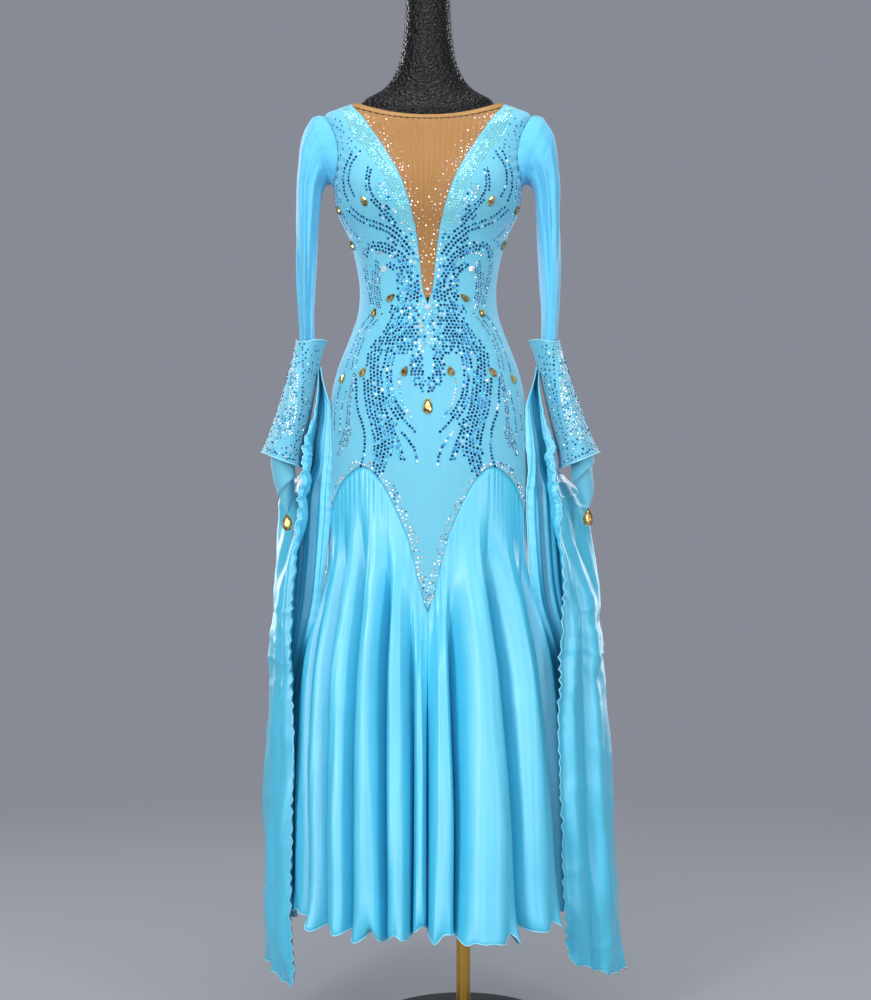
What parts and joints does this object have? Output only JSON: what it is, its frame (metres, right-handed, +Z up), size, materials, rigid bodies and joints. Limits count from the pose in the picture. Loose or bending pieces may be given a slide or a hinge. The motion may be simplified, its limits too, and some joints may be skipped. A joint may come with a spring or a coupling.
{
  "type": "ballroom dance dress on a dress form",
  "caption": "Floor-length dress with a fitted, pointed bodice, godet skirt, long sleeves with flared cuffs and hanging floats, on a limbless form and pole stand",
  "frame": {"origin": "on the floor, on the underside of the stand's base, below the dress's centre line; the pole stands 58 mm to +X of it", "axes": "+Z up; the dress's front faces -Y; +X is to the right for someone who looks at the front"},
  "size_m": [0.6005, 0.512, 1.7104],
  "materials": {
    "crepe": "matte stretch crepe",
    "satin": "glossy satin",
    "sleeve_mesh": "fine stretch mesh",
    "nude_mesh": "fine gathered mesh",
    "gold_glass": "faceted, foiled",
    "form_cover": "black textured cover over foam",
    "brass": "polished",
    "base_black": "satin black"
  },
  "bodies": {
    "root": {"bodice_back": "crepe", "bodice_front": "crepe", "cuff_left": "crepe", "cuff_right": "crepe", "drop_01": "gold_glass", "drop_02": "gold_glass", "drop_03": "gold_glass", "drop_04": "gold_glass", "drop_05": "gold_glass", "drop_06": "gold_glass", "drop_07": "gold_glass", "drop_08": "gold_glass", "drop_09": "gold_glass", "drop_10": "gold_glass", "drop_11": "gold_glass", "drop_12": "gold_glass", "drop_13": "gold_glass", "drop_14": "gold_glass", "drop_15": "gold_glass", "drop_16": "gold_glass", "drop_17": "gold_glass", "float_left": "satin", "float_right": "satin", "form_torso": "form_cover", "hand_point_left": "crepe", "hand_point_right": "crepe", "hanging_drop_left": "gold_glass", "hanging_drop_right": "gold_glass", "neck_binding": "nude_mesh", "skirt_back_left": "satin", "skirt_back_right": "satin", "skirt_front_left": "satin", "skirt_front_right": "satin", "sleeve_left": "sleeve_mesh", "sleeve_right": "sleeve_mesh", "stand_base": "base_black", "stand_pole": "brass", "v_inset": "nude_mesh"}
  },
  "joints": []
}
